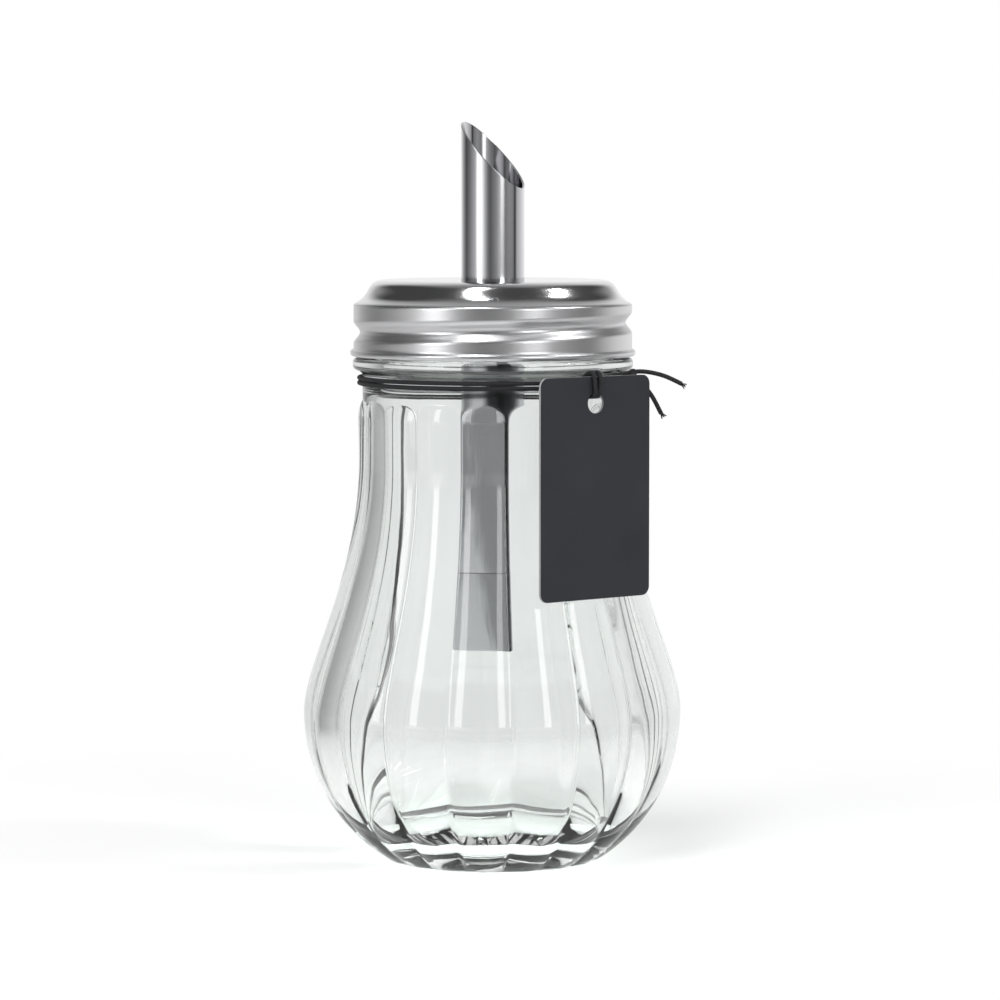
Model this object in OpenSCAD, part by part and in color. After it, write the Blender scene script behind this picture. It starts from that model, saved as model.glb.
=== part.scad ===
// Fluted glass sugar dispenser with a screw cap, a pouring tube and a flap inside its mouth.
// Millimetres. +Z is up, the origin is the middle of the foot, and -Y is the front.

/* [Jar] */
// Height of the glass from the table to its rim
jar_height = 127.4; // [110:0.1:150]
// Widest diameter of the bulb, over the lobes
bulb_diameter = 85; // [76:0.5:96]
// Height of the widest place above the table
bulb_height = 32.8; // [26:0.5:40]
// Diameter of the slim neck, over the lobes
neck_diameter = 60; // [59:0.1:61]
// Diameter of the flat foot
foot_diameter = 49; // [40:0.5:56]
// Thickness of the glass wall
glass_wall = 3.5; // [2.6:0.1:4.2]
// Thickness of the glass under the hollow
foot_thickness = 6; // [4:0.1:9]
// Number of upright lobes round the glass
lobe_count = 18; // [12:1:24]
// Depth of the valleys between the lobes at the bulb
lobe_depth = 1.4; // [0.8:0.1:2]
// Turn of the first lobe from the front, in degrees
lobe_turn = -3.9; // [-10:0.1:10]
// Height of the plain neck between the lobes and the ring
plain_height = 6.6; // [5:0.1:9]
// Height of the straight part of the lobed neck
straight_height = 13; // [9:0.5:18]
// Diameter of the plain glass ring under the cap
bead_diameter = 62.6; // [62:0.1:64]
// Height of that ring
bead_height = 2.8; // [2:0.1:4]
// Diameter of the smooth mouth of the glass inside the cap
finish_diameter = 55.4; // [54:0.1:55.6]
// Thickness of the glass at the mouth
finish_wall = 3.2; // [2.8:0.1:3.6]

/* [Cap] */
// Diameter of the cap's two outer bands
cap_diameter = 62.2; // [61:0.1:64]
// Height of the cap from its rolled rim to its top
cap_height = 17; // [15:0.1:17.2]
// Thickness of the sheet metal
cap_sheet = 0.5; // [0.3:0.05:0.7]
// Depth of the rolled groove between the bands
cap_groove = 1.4; // [0.6:0.1:1.6]
// Radius of the rolled rim
cap_curl = 0.8; // [0.5:0.05:0.9]
// Thickness of the sealing disc in the cap
liner_thickness = 1.6; // [1.4:0.1:2.2]

/* [Pouring tube] */
// Outer diameter of the tube
tube_diameter = 14.2; // [12:0.1:17]
// Wall of the tube
tube_wall = 0.5; // [0.3:0.05:0.8]
// Height of the tube's high tip above the cap
tube_rise = 35.1; // [26:0.1:46]
// Length of tube and sleeve below the top of the cap
tube_drop = 82.8; // [60:0.1:100]
// Angle of the mouth's cut from level, in degrees
mouth_slope = 46; // [30:0.5:55]
// Direction that the mouth faces, in degrees from +X
mouth_turn = -23; // [-90:1:90]
// Height of the ring that holds the tube under the cap
collar_height = 1.2; // [0.8:0.1:1.4]
// Width of that ring
collar_width = 2.4; // [1.5:0.1:4]

/* [Dosing sleeve] */
// Length of the sleeve on the tube's lower end
sleeve_length = 17.5; // [10:0.5:30]
// Wall of the sleeve
sleeve_wall = 0.5; // [0.3:0.05:0.8]
// Length that the sleeve stands below the tube
sleeve_reach = 5; // [2:0.5:8]

/* [Flap] */
// Thickness of the flap
flap_thickness = 0.5; // [0.3:0.05:0.8]
// Gap between the flap's edge and the tube
flap_gap = 0.6; // [0.5:0.05:0.9]
// Diameter of the flap's pin
pin_diameter = 1; // [0.8:0.05:1.4]
// Running clearance round the pin
pin_clearance = 0.05; // [0.02:0.01:0.1]
// Distance of the pin from the tube's middle
pin_offset = 4.6; // [3:0.1:4.8]
// Width of each of the flap's two pin eyes
eye_width = 1.4; // [0.8:0.1:2]
// Gap between the two eyes
eye_space = 3.2; // [1:0.1:3.6]
// Width of the ledge that the flap rests on
seat_width = 0.4; // [0.2:0.05:0.8]
// Height of that ledge
seat_height = 0.6; // [0.3:0.05:1.5]

/* [Hang tag] */
// Width of the card tag
tag_width = 31; // [24:0.5:36]
// Length of the card tag
tag_length = 48.5; // [36:0.5:54]
// Thickness of the card
tag_thickness = 0.6; // [0.4:0.05:1]
// Radius of the card's corners
tag_corner = 2; // [0.5:0.1:4]
// Diameter of the cord's hole
tag_hole = 4.4; // [3.4:0.1:5]
// Distance of the hole from the top edge
tag_hole_drop = 5.8; // [4:0.1:8]
// Direction that the tag faces, in degrees from +X
tag_turn = -51; // [-90:1:90]

/* [Cord] */
// Diameter of the elastic cord
cord_diameter = 1; // [0.8:0.05:1.2]
// Size of its knot
knot_diameter = 2.8; // [2.4:0.1:3.4]

/* [Hidden] */
$fa = 4;
$fs = 0.3;

// Heights that the pieces share
cap_top = jar_height + liner_thickness + cap_sheet;
cap_rim = cap_top - cap_height;
bead_top = cap_rim - 0.3;
bead_low = bead_top - bead_height;
lobe_top = bead_low - plain_height;
neck_low = lobe_top - straight_height;
sleeve_low = cap_top - tube_drop;
tube_low = sleeve_low + sleeve_reach;

// Radii that the pieces share
bulb_r = bulb_diameter / 2;
neck_r = neck_diameter / 2;
throat_r = neck_r - 0.85;
finish_r = finish_diameter / 2;
bore_r = finish_r - finish_wall;
rim_inside = 1.2;
rim_outside = finish_wall - rim_inside;
cap_r = cap_diameter / 2;
tube_r = tube_diameter / 2;
tube_bore_r = tube_r - tube_wall;
sleeve_r = tube_r + sleeve_wall;

// Mouth and flap, in a frame that is turned so that +X is the way the mouth faces
mouth_mid = cap_top + tube_rise - tube_r * tan(mouth_slope);
mouth_lip = mouth_mid - tube_r * tan(mouth_slope);
flap_z = mouth_lip - 1.4;
flap_r = tube_bore_r - flap_gap;
pin_r = pin_diameter / 2;
pin_hole_r = pin_r + pin_clearance;
eye_r = pin_hole_r + 0.45;

// One cubic curve through four handles, and a list without its first point
function curve_at(p, t) = pow(1 - t, 3) * p[0] + 3 * t * pow(1 - t, 2) * p[1] + 3 * t * t * (1 - t) * p[2] + pow(t, 3) * p[3];
function curve(p, n) = [for (i = [0:n]) curve_at(p, i / n)];
function rest(v) = [for (i = [1:len(v) - 1]) v[i]];

// Outline of the lobes' crests, from the foot to the round tops of the lobes
foot_curve = [[foot_diameter / 2, 0], [foot_diameter / 2 + 7.5, 4.6], [bulb_r, 0.485 * bulb_height], [bulb_r, bulb_height]];
waist_curve = [[bulb_r, bulb_height], [bulb_r, bulb_height + 11.7], [neck_r, neck_low - 26.9], [neck_r, neck_low]];
crest = concat(
    curve(foot_curve, 11),
    rest(curve(waist_curve, 14)),
    [[neck_r + 0.1, neck_low + 5], [neck_r + 0.1, lobe_top - 4]],
    [for (a = [25:25:100]) [neck_r - 1.5 + 1.6 * cos(a), lobe_top - 4 + 4.4 * sin(a)]]
);

// The crests are cut by valleys: each lobe is a shallow arch across its share of the turn
lobe_steps = 4;
ring_count = lobe_count * lobe_steps;
function arch(i) = pow(2 * (i % lobe_steps) / lobe_steps - 1, 2);
function ring(p) = [for (i = [0:ring_count - 1])
    let (a = lobe_turn - 90 + (i - lobe_steps / 2) * 360 / ring_count, r = p[0] - lobe_depth * p[0] / bulb_r * arch(i))
    [r * cos(a), r * sin(a), p[1]]];

module fluted_solid() {
    rows = len(crest);
    n = ring_count;
    points = concat([for (p = crest) each ring(p)]);
    sides = [for (j = [0:rows - 2]) for (i = [0:n - 1])
        let (a = j * n + i, b = j * n + (i + 1) % n)
        each [[a, a + n, b], [b, a + n, b + n]]];
    foot = [[for (i = [0:n - 1]) i]];
    top = [[for (i = [n - 1:-1:0]) (rows - 1) * n + i]];
    polyhedron(points, concat(sides, foot, top), convexity = 6);
}

// Plain neck, cord groove, ring and mouth of the glass, one turned outline
module turned_neck() {
    rotate_extrude()
        polygon([
            [0, neck_low + 2], [throat_r - 2.5, neck_low + 2], [throat_r, lobe_top - 2], [throat_r, bead_low - 0.4],
            [bead_diameter / 2 - 0.5, bead_low + 0.4], [bead_diameter / 2, bead_low + 1],
            [bead_diameter / 2, bead_top - 0.6], [bead_diameter / 2 - 0.6, bead_top], [finish_r, bead_top],
            each [for (a = [0:22.5:90])
                [finish_r - rim_outside * (1 - cos(a)), jar_height - rim_outside * (1 - sin(a))]],
            [0, jar_height]
        ]);
}

// Hollow of the jar, which follows the outside at the wall's thickness
module jar_hollow() {
    in_r = bulb_r - glass_wall;
    in_neck = neck_r - glass_wall;
    low = [[foot_diameter / 2 - 5, foot_thickness], [foot_diameter / 2 + 6, foot_thickness + 0.6],
        [in_r, 0.56 * bulb_height], [in_r, bulb_height]];
    high = [[in_r, bulb_height], [in_r, bulb_height + 11.4], [in_neck, neck_low - 27], [in_neck, neck_low]];
    rotate_extrude()
        polygon([
            [0, foot_thickness], each curve(low, 9), each rest(curve(high, 10)),
            [in_neck, lobe_top], [bore_r, bead_top - 1],
            each [for (a = [180:-30:90])
                [bore_r + rim_inside * (1 + cos(a)), jar_height - rim_inside * (1 - sin(a))]],
            [bore_r + rim_inside, jar_height + 2], [0, jar_height + 2]
        ]);
}

module glass_jar() {
    color([0.88, 0.91, 0.89, 0.45])
        difference() {
            union() {
                fluted_solid();
                turned_neck();
            }
            jar_hollow();
        }
}

// A path moved sideways to its right by d, for the inside of bent sheet
function side_step(v, i, d) =
    let (t = v[min(i + 1, len(v) - 1)] - v[max(i - 1, 0)])
    v[i] + d * [t[1], -t[0]] / norm(t);
function inset(v, d) = [for (i = [len(v) - 1:-1:0]) side_step(v, i, d)];

// Outside of the cap from the tube's hole, over the shoulder, to the lower band
cap_shoulder = [[cap_r - 7.2, cap_top], [cap_r - 3.1, cap_top], [cap_r - 3.9, cap_top - 2.4], [cap_r - 1.7, cap_top - 4.3]];
groove_top = cap_top - 7.3;
groove_low = cap_rim + 4.6;
cap_outline = concat(
    [[tube_r, cap_top]],
    curve(cap_shoulder, 9),
    [[cap_r - 0.3, cap_top - 5.2], [cap_r, cap_top - 5.8], [cap_r, groove_top]],
    [for (i = [1:7])
        [cap_r - cap_groove * (1 - cos(45 * i)) / 2, groove_top + (groove_low - groove_top) * i / 8]],
    [[cap_r, groove_low], [cap_r, cap_rim + cap_curl]]
);

module screw_cap() {
    color([0.74, 0.74, 0.75]) {
        rotate_extrude()
            polygon(concat(cap_outline, inset(cap_outline, cap_sheet)));
        rotate_extrude()
            translate([cap_r - 0.05, cap_rim + cap_curl])
                circle(r = cap_curl);
    }
}

// Soft disc that the cap presses on the glass rim
module cap_liner() {
    hole = tube_r + collar_width + 0.1;
    under = cap_top - cap_sheet;
    color([0.93, 0.93, 0.9])
        rotate_extrude()
            polygon([
                [hole, jar_height], [cap_r - 4.2, jar_height], [cap_r - 4.4, jar_height + 0.2],
                [cap_r - 7.3, under], [hole, under]
            ]);
}

module tube_collar() {
    color([0.7, 0.7, 0.71])
        translate([0, 0, cap_top - cap_sheet - collar_height])
            difference() {
                cylinder(r = tube_r + collar_width, h = collar_height);
                translate([0, 0, -1])
                    cylinder(r = tube_r, h = collar_height + 2);
            }
}

// Everything in the mouth is drawn with +X as the way the mouth faces
module mouth_frame() {
    rotate([0, 0, mouth_turn])
        children();
}

// A bar on the pin's axis
module pin_bar(r, half) {
    translate([-pin_offset, half, flap_z])
        rotate([90, 0, 0])
            cylinder(r = r, h = 2 * half);
}

// Ledge under the flap's free edge, open on the side of the pin
module flap_ledge() {
    top = flap_z - flap_thickness / 2 - 0.03;
    color([0.66, 0.66, 0.68])
        mouth_frame()
            translate([0, 0, top - seat_height])
                difference() {
                    cylinder(r = tube_bore_r, h = seat_height);
                    translate([0, 0, -1])
                        cylinder(r = flap_r - seat_width, h = seat_height + 2);
                    translate([-2 * tube_r - 1, -tube_r, -1])
                        cube([2 * tube_r, 2 * tube_r, seat_height + 2]);
                }
}

module spout_tube() {
    color([0.72, 0.72, 0.74])
        mouth_frame()
            difference() {
                rotate([0, 0, 60])
                    difference() {
                        translate([0, 0, tube_low])
                            cylinder(r = tube_r, h = cap_top + tube_rise + 1 - tube_low);
                        translate([0, 0, tube_low - 1])
                            cylinder(r = tube_bore_r, h = cap_top + tube_rise + 3 - tube_low);
                    }
                translate([0, 0, mouth_mid])
                    rotate([0, mouth_slope, 0])
                        translate([-30, -30, 0])
                            cube(60);
                pin_bar(pin_r, tube_r + 1);
            }
}

module flap_pin() {
    color([0.6, 0.6, 0.61])
        mouth_frame()
            intersection() {
                pin_bar(pin_r, tube_r + 1);
                translate([0, 0, flap_z - 2])
                    cylinder(r = tube_r, h = 4);
            }
}

// Round plate that hangs by two eyes on its pin and shuts the tube under the low lip
module flap() {
    color([0.78, 0.78, 0.79])
        mouth_frame()
            difference() {
                union() {
                    intersection() {
                        translate([0, 0, flap_z - flap_thickness / 2])
                            cylinder(r = flap_r, h = flap_thickness);
                        translate([-pin_offset, -flap_r, flap_z - flap_thickness])
                            cube([2 * flap_r, 2 * flap_r, 2 * flap_thickness]);
                    }
                    for (side = [-1, 1])
                        translate([0, side * (eye_space + eye_width) / 2, 0])
                            pin_bar(eye_r, eye_width / 2);
                }
                pin_bar(pin_hole_r, tube_r);
            }
}

// Sleeve over the tube's lower end; its reach below the tube sets the dose
module dosing_sleeve() {
    color([0.5, 0.5, 0.52])
        translate([0, 0, sleeve_low])
            difference() {
                cylinder(r = sleeve_r, h = sleeve_length);
                translate([0, 0, -1])
                    cylinder(r = tube_r, h = sleeve_length + 2);
            }
}

// The tag hangs flat against the bulb, with its lower edge on the lobes
tag_top = bead_low - 0.2;
tag_low = tag_top - tag_length;
tag_r = max(lookup(tag_low, [for (p = crest) [p[1], p[0]]]), bead_diameter / 2 + 1.6) + 0.3;
tag_face = tag_r + tag_thickness;
hole_z = tag_top - tag_hole_drop;

module hang_tag() {
    w = tag_width / 2 - tag_corner;
    h = tag_length / 2 - tag_corner;
    color([0.19, 0.2, 0.21])
        rotate([0, 0, tag_turn])
            translate([tag_r, 0, tag_low + tag_length / 2])
                rotate([0, 90, 0])
                    difference() {
                        union() {
                            translate([-h, -tag_width / 2, 0])
                                cube([2 * h, tag_width, tag_thickness]);
                            translate([-tag_length / 2, -w, 0])
                                cube([tag_length, 2 * w, tag_thickness]);
                            for (x = [-h, h], y = [-w, w])
                                translate([x, y, 0])
                                    cylinder(r = tag_corner, h = tag_thickness);
                        }
                        translate([tag_hole_drop - tag_length / 2, 0, -1])
                            cylinder(d = tag_hole, h = tag_thickness + 2);
                    }
}

// A round cord along a route, with rings square to it; ref is never along the route
cord_sides = 8;
function unit(v) = v / norm(v);
function cord_ring(v, i, closed, ref, r) =
    let (n = len(v), next = v[closed ? (i + 1) % n : min(i + 1, n - 1)], last = v[closed ? (i + n - 1) % n : max(i - 1, 0)],
        t = unit(next - last), u = unit(cross(t, ref)), w = cross(t, u))
    [for (k = [0:cord_sides - 1]) v[i] + r * (cos(360 * k / cord_sides) * u + sin(360 * k / cord_sides) * w)];

module cord_tube(v, closed, ref, r = cord_diameter / 2) {
    n = len(v);
    m = cord_sides;
    spans = closed ? n : n - 1;
    points = [for (i = [0:n - 1]) each cord_ring(v, i, closed, ref, r)];
    sides = [for (j = [0:spans - 1]) for (k = [0:m - 1])
        let (a = j * m + k, b = j * m + (k + 1) % m, c = ((j + 1) % n) * m + k, d = ((j + 1) % n) * m + (k + 1) % m)
        each [[a, b, c], [b, d, c]]];
    ends = closed ? [] : [[for (k = [m - 1:-1:0]) k], [for (k = [0:m - 1]) (n - 1) * m + k]];
    polyhedron(points, concat(sides, ends), convexity = 8);
}

// Route of the neck cord as turn from +X, and rise out of and above its upper lap in cord widths:
// an end, the knot, two laps of the neck under the ring, the knot again and the other end
cord_r = throat_r + cord_diameter / 2 + 0.2;
cord_up = bead_low - 1.7 * cord_diameter;
cord_down = cord_up - 1.1 * cord_diameter;
cord_route = concat(
    [[-16, 13.55, -0.9], [-17.5, 9.75, 0.9], [-20, 6.15, 1.8], [-23.5, 3.75, 1.8], [-29, 2.05, 1.2], [-35, 0.75, 0.5], [-42, 0, 0.25]],
    [for (a = [-54:-12:-378]) [a, 0, 0]],
    [[-390, 0, -0.4], [-402, 0, -0.85], [-414, 0, -1.1]],
    [for (a = [-426:-12:-714]) [a, 0, -1.1]],
    [[-726, 0.05, -1.1], [-734, 1.15, -0.8], [-741, 2.85, 0.2], [-744.5, 4.15, 0.6], [-743.5, 5.75, -0.6], [-741, 7.65, -3.4],
        [-739.5, 9.55, -7.4]]
);
function around(p) = let (r = cord_r + p[1] * cord_diameter) [r * cos(p[0]), r * sin(p[0]), cord_up + p[2] * cord_diameter];

module neck_cord() {
    color([0.08, 0.08, 0.08])
        cord_tube([for (p = cord_route) around(p)], false, [0, 0, 1]);
}

module cord_knot() {
    color([0.08, 0.08, 0.08])
        translate(around([-24, 3.95, 1.2]))
            sphere(d = knot_diameter);
}

// Two turns of cord from the neck over the tag's top edge and back through its hole
loop_front = tag_face + cord_diameter / 2 + 0.1;
loop_back = cord_r + cord_diameter + 0.05;
strand_gap = 0.8 * cord_diameter;
strand_close = 0.52 * cord_diameter;
loop_route = [
    [loop_back, strand_gap, cord_down + 0.5], [loop_back + 0.7, strand_gap, cord_down + 1.4],
    [tag_r - 1.6, strand_gap, tag_top + 0.3], [tag_r - 0.5, strand_gap, tag_top + 0.7],
    [tag_r + 0.4, strand_gap, tag_top + 0.8], [loop_front - 0.3, strand_gap, tag_top + 0.4],
    [loop_front, strand_gap, tag_top - 0.6], [loop_front, (strand_gap + strand_close) / 2, tag_top - 2.2],
    [loop_front - 0.05, strand_close, hole_z + 2.2], [loop_front - 0.4, strand_close, hole_z + 1.7],
    [tag_r + 0.3, strand_close, hole_z + 1.45], [tag_r - 0.6, strand_close, hole_z + 1.5],
    [tag_r - 1.6, (strand_gap + strand_close) / 2, hole_z + 2], [loop_back + 0.5, strand_gap, cord_down - 0.5]
];

module tag_loop() {
    color([0.08, 0.08, 0.08])
        rotate([0, 0, tag_turn])
            for (side = [-1, 1])
                cord_tube([for (p = loop_route) [p[0], side * p[1], p[2]]], true, [0, 1, 0]);
}

glass_jar();
screw_cap();
cap_liner();
spout_tube();
tube_collar();
dosing_sleeve();
flap();
flap_pin();
flap_ledge();
hang_tag();
tag_loop();
neck_cord();
cord_knot();
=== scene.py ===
"""Fluted glass sugar dispenser: fine shapes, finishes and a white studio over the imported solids."""

import math

import bmesh
import bpy
from bpy.props import FloatProperty, FloatVectorProperty, IntProperty, PointerProperty
from mathutils import Matrix, Vector


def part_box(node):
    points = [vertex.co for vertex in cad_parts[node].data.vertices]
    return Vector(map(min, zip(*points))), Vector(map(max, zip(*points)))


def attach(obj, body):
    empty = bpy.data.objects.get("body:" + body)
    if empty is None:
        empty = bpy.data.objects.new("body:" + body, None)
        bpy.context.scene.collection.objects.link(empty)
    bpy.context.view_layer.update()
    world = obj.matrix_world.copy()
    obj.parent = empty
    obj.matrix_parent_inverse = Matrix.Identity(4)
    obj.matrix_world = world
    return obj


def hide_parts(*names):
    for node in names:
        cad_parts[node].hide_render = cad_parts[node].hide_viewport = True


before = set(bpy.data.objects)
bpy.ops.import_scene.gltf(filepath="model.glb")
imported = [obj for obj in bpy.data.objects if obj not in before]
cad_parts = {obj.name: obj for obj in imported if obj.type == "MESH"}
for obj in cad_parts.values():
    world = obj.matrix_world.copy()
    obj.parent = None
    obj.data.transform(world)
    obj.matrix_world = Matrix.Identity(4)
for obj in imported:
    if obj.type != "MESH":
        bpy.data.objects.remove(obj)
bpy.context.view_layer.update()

bl_info = {
    "name": "Fluted sugar dispenser",
    "version": (1, 0, 0),
    "blender": (4, 5, 0),
    "location": "View3D > Sidebar > Dispenser",
    "description": "Glass jar, rolled cap, pouring tube, flap and hang tag",
    "category": "Add Mesh",
}

MM = 0.001
JAR_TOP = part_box("glass_jar")[1].z
CAP_LOW, CAP_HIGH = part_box("screw_cap")
TUBE_LOW, TUBE_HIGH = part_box("spout_tube")
SLEEVE_LOW, SLEEVE_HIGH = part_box("dosing_sleeve")
TAG_LOW, TAG_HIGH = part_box("hang_tag")
RING_LOW = CAP_LOW.z - 3.1 * MM
THREAD_LOW, THREAD_HIGH = CAP_LOW.z + 3.5 * MM, JAR_TOP - 3 * MM
# Both threads run this many turns to each side of their middle, which faces the front
THREAD_REACH = 0.62


def length(name, about, size):
    """A length property in metres."""
    return FloatProperty(name=name, description=about, default=size, unit="LENGTH", precision=5)


def angle(name, about, degrees):
    """An angle property, given in degrees."""
    return FloatProperty(name=name, description=about, default=math.radians(degrees), subtype="ANGLE")


def colour(name, about, rgb):
    """A colour property."""
    return FloatVectorProperty(name=name, description=about, default=rgb, subtype="COLOR", size=3,
                               min=0, max=1)


class JarSizes(bpy.types.PropertyGroup):
    bulb: length("Bulb", "Widest diameter over the lobes", 85 * MM)
    bulb_height: length("Bulb height", "Height of the widest place", 32.8 * MM)
    neck: length("Neck", "Diameter of the slim neck over the lobes", 60 * MM)
    foot: length("Foot", "Diameter of the flat foot", 49 * MM)
    wall: length("Wall", "Thickness of the glass", 3.5 * MM)
    floor: length("Floor", "Thickness of the glass under the hollow", 6 * MM)
    lobes: IntProperty(name="Lobes", description="Number of upright lobes", default=18, min=12, max=24)
    depth: length("Lobe depth", "Depth of the valleys at the bulb", 1.4 * MM)
    turn: angle("Turn", "Turn of the first lobe", -3.9)
    ring: length("Ring", "Diameter of the plain ring under the cap", 62.6 * MM)
    mouth: length("Mouth", "Diameter of the smooth mouth", 55.4 * MM)


class CapSizes(bpy.types.PropertyGroup):
    diameter: length("Diameter", "Diameter of the two bands", 62.2 * MM)
    sheet: length("Sheet", "Thickness of the sheet metal", 0.5 * MM)
    groove: length("Groove", "Depth of the rolled thread", 1.4 * MM)
    pitch: length("Pitch", "Rise of the thread in one turn", 4.5 * MM)
    curl: length("Curl", "Radius of the rolled rim", 0.8 * MM)


class TubeSizes(bpy.types.PropertyGroup):
    diameter: length("Diameter", "Outer diameter of the tube", 14.2 * MM)
    wall: length("Wall", "Wall of the tube", 0.5 * MM)
    slope: angle("Slope", "Slope of the mouth's cut", 46)
    turn: angle("Turn", "Way that the mouth faces", -23)


class TagSizes(bpy.types.PropertyGroup):
    width: length("Width", "Width of the card", 31 * MM)
    thickness: length("Thickness", "Thickness of the card", 0.6 * MM)
    corner: length("Corner", "Radius of the card's corners", 2 * MM)
    hole: length("Hole", "Diameter of the cord's hole", 4.4 * MM)
    drop: length("Drop", "Distance of the hole from the top edge", 5.8 * MM)
    turn: angle("Turn", "Way that the card faces", -51)
    cord: length("Cord", "Diameter of the elastic cord", 1 * MM)


class Finishes(bpy.types.PropertyGroup):
    glass: colour("Glass", "Tint of the glass", (0.965, 0.982, 0.974))
    steel: colour("Steel", "Sheet steel of the cap", (0.72, 0.72, 0.73))
    tube: colour("Tube", "Drawn steel of the tube", (0.66, 0.66, 0.68))
    foam: colour("Foam", "Sealing disc", (0.85, 0.85, 0.82))
    card: colour("Card", "Face of the tag", (0.026, 0.028, 0.033))
    edge: colour("Edge", "Cut edge of the tag", (0.42, 0.42, 0.43))
    cord: colour("Cord", "Elastic cord", (0.012, 0.012, 0.013))


class DispenserSizes(bpy.types.PropertyGroup):
    jar: PointerProperty(type=JarSizes)
    cap: PointerProperty(type=CapSizes)
    tube: PointerProperty(type=TubeSizes)
    tag: PointerProperty(type=TagSizes)
    finish: PointerProperty(type=Finishes)


# Shader maths

class Value:
    """A shader socket that can stand in sums."""

    def __init__(self, shader, socket):
        self.shader = shader
        self.socket = socket

    def calc(self, operation, *others):
        return self.shader.maths(operation, self, *others)

    def __add__(self, other):
        return self.calc("ADD", other)

    def __sub__(self, other):
        return self.calc("SUBTRACT", other)

    def __rsub__(self, other):
        return self.shader.maths("SUBTRACT", other, self)

    def __mul__(self, other):
        return self.calc("MULTIPLY", other)

    def __truediv__(self, other):
        return self.calc("DIVIDE", other)

    def __pow__(self, other):
        return self.calc("POWER", other)

    __radd__ = __add__
    __rmul__ = __mul__


class Shader:
    """A material's nodes, made one call at a time."""

    def __init__(self, name, world=None):
        if world is None:
            self.data = bpy.data.materials.new(name)
        else:
            self.data = world
        self.data.use_nodes = True
        self.tree = self.data.node_tree
        self.tree.nodes.clear()

    def node(self, kind, settings=None, inputs=None):
        """Adds a node; settings come first, then values or links of its sockets."""
        made = self.tree.nodes.new(kind)
        for key, value in (settings or {}).items():
            if key == "stops":
                ramp = made.color_ramp.elements
                while len(ramp) < len(value):
                    ramp.new(0.5)
                for element, (place, tone) in zip(ramp, value):
                    element.position = place
                    element.color = (*tone, 1) if isinstance(tone, tuple) else (tone, tone, tone, 1)
            else:
                setattr(made, key, value)
        for key, value in (inputs or {}).items():
            if isinstance(value, Value):
                self.tree.links.new(value.socket, made.inputs[key])
            else:
                made.inputs[key].default_value = value
        return made

    def out(self, made, socket=0):
        return Value(self, made.outputs[socket])

    def maths(self, operation, *terms):
        return self.out(self.node("ShaderNodeMath", {"operation": operation}, dict(enumerate(terms))))

    def mix(self, factor, low, high):
        """A colour between two others."""
        made = self.node("ShaderNodeMix", {"data_type": "RGBA"}, {0: factor, 6: low, 7: high})
        return self.out(made, 2)

    def ramp(self, value, stops):
        return self.out(self.node("ShaderNodeValToRGB", {"stops": stops}, {0: value}))

    def noise(self, vector, scale, detail=2.0, rough=0.5):
        made = self.node("ShaderNodeTexNoise", {},
                         {"Vector": vector, "Scale": scale, "Detail": detail, "Roughness": rough})
        return self.out(made, 0)

    def place(self, scale=(1, 1, 1)):
        """Object coordinates, stretched."""
        at = self.out(self.node("ShaderNodeTexCoord"), "Object")
        return self.out(self.node("ShaderNodeMapping", {}, {"Vector": at, "Scale": scale}))

    def axes(self):
        """The three object coordinates as values."""
        at = self.out(self.node("ShaderNodeTexCoord"), "Object")
        parts = self.node("ShaderNodeSeparateXYZ", {}, {0: at})
        return [self.out(parts, i) for i in range(3)]

    def bump(self, height, distance, strength=1.0):
        made = self.node("ShaderNodeBump", {}, {"Height": height, "Distance": distance, "Strength": strength})
        return self.out(made)

    def blend(self, factor, one, other):
        """A shader between two others."""
        return self.out(self.node("ShaderNodeMixShader", {}, {0: factor, 1: one, 2: other}))

    def backdrop(self, tone, strength):
        return self.out(self.node("ShaderNodeBackground", {}, {0: tone, 1: strength}))

    def surface(self, shader):
        self.node("ShaderNodeOutputMaterial", {}, {"Surface": shader})
        return self.data

    def principled(self, **inputs):
        return self.out(self.node("ShaderNodeBsdfPrincipled", {}, inputs))


def rgba(value):
    return (*value, 1.0)


def jar_glass(finish):
    """Clear pressed glass: faint waves in its skin, and lamps shine through it."""
    s = Shader("pressed_glass")
    waves = s.noise(s.place((1, 1, 0.4)), 90, 2.0)
    normal = s.bump(waves, 0.00025, 0.25)
    glass = s.principled(**{"Base Color": rgba(finish.glass), "Roughness": 0.0, "IOR": 1.5,
                            "Transmission Weight": 1.0, "Normal": normal})
    clear = s.out(s.node("ShaderNodeBsdfTransparent", {}, {0: (0.93, 0.95, 0.94, 1)}))
    shadow = s.out(s.node("ShaderNodeLightPath"), "Is Shadow Ray")
    return s.surface(s.blend(shadow, glass, clear))


def turned_steel(finish):
    """Satin sheet steel with fine turned rings and a few faint marks."""
    s = Shader("turned_steel")
    x, y, z = s.axes()
    away = ((x * x) + (y * y)) ** 0.5
    rings = s.out(s.node("ShaderNodeCombineXYZ", {}, {0: away, 1: z}))
    lines = s.noise(rings, 5200, 2.0, 0.6)
    cloud = s.noise(s.place(), 60, 3.0)
    spots = s.ramp(s.noise(s.place((1, 1, 2)), 420, 2.0), [(0.66, 0.0), (0.74, 1.0)])
    dull = rgba([c * 0.94 for c in finish.steel])
    base = s.mix(cloud, dull, rgba([min(1, c * 1.06) for c in finish.steel]))
    skirt = s.ramp((z - (CAP_HIGH.z - 5.6 * MM)) / (0.8 * MM), [(0.0, 1.0), (1.0, 0.0)])
    rough = 0.1 + 0.05 * cloud + 0.03 * lines + 0.04 * spots + 0.2 * skirt
    return s.surface(s.principled(**{"Base Color": base, "Metallic": 1.0, "Roughness": rough,
                                     "Normal": s.bump(lines, 0.00002, 0.5)}))


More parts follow.
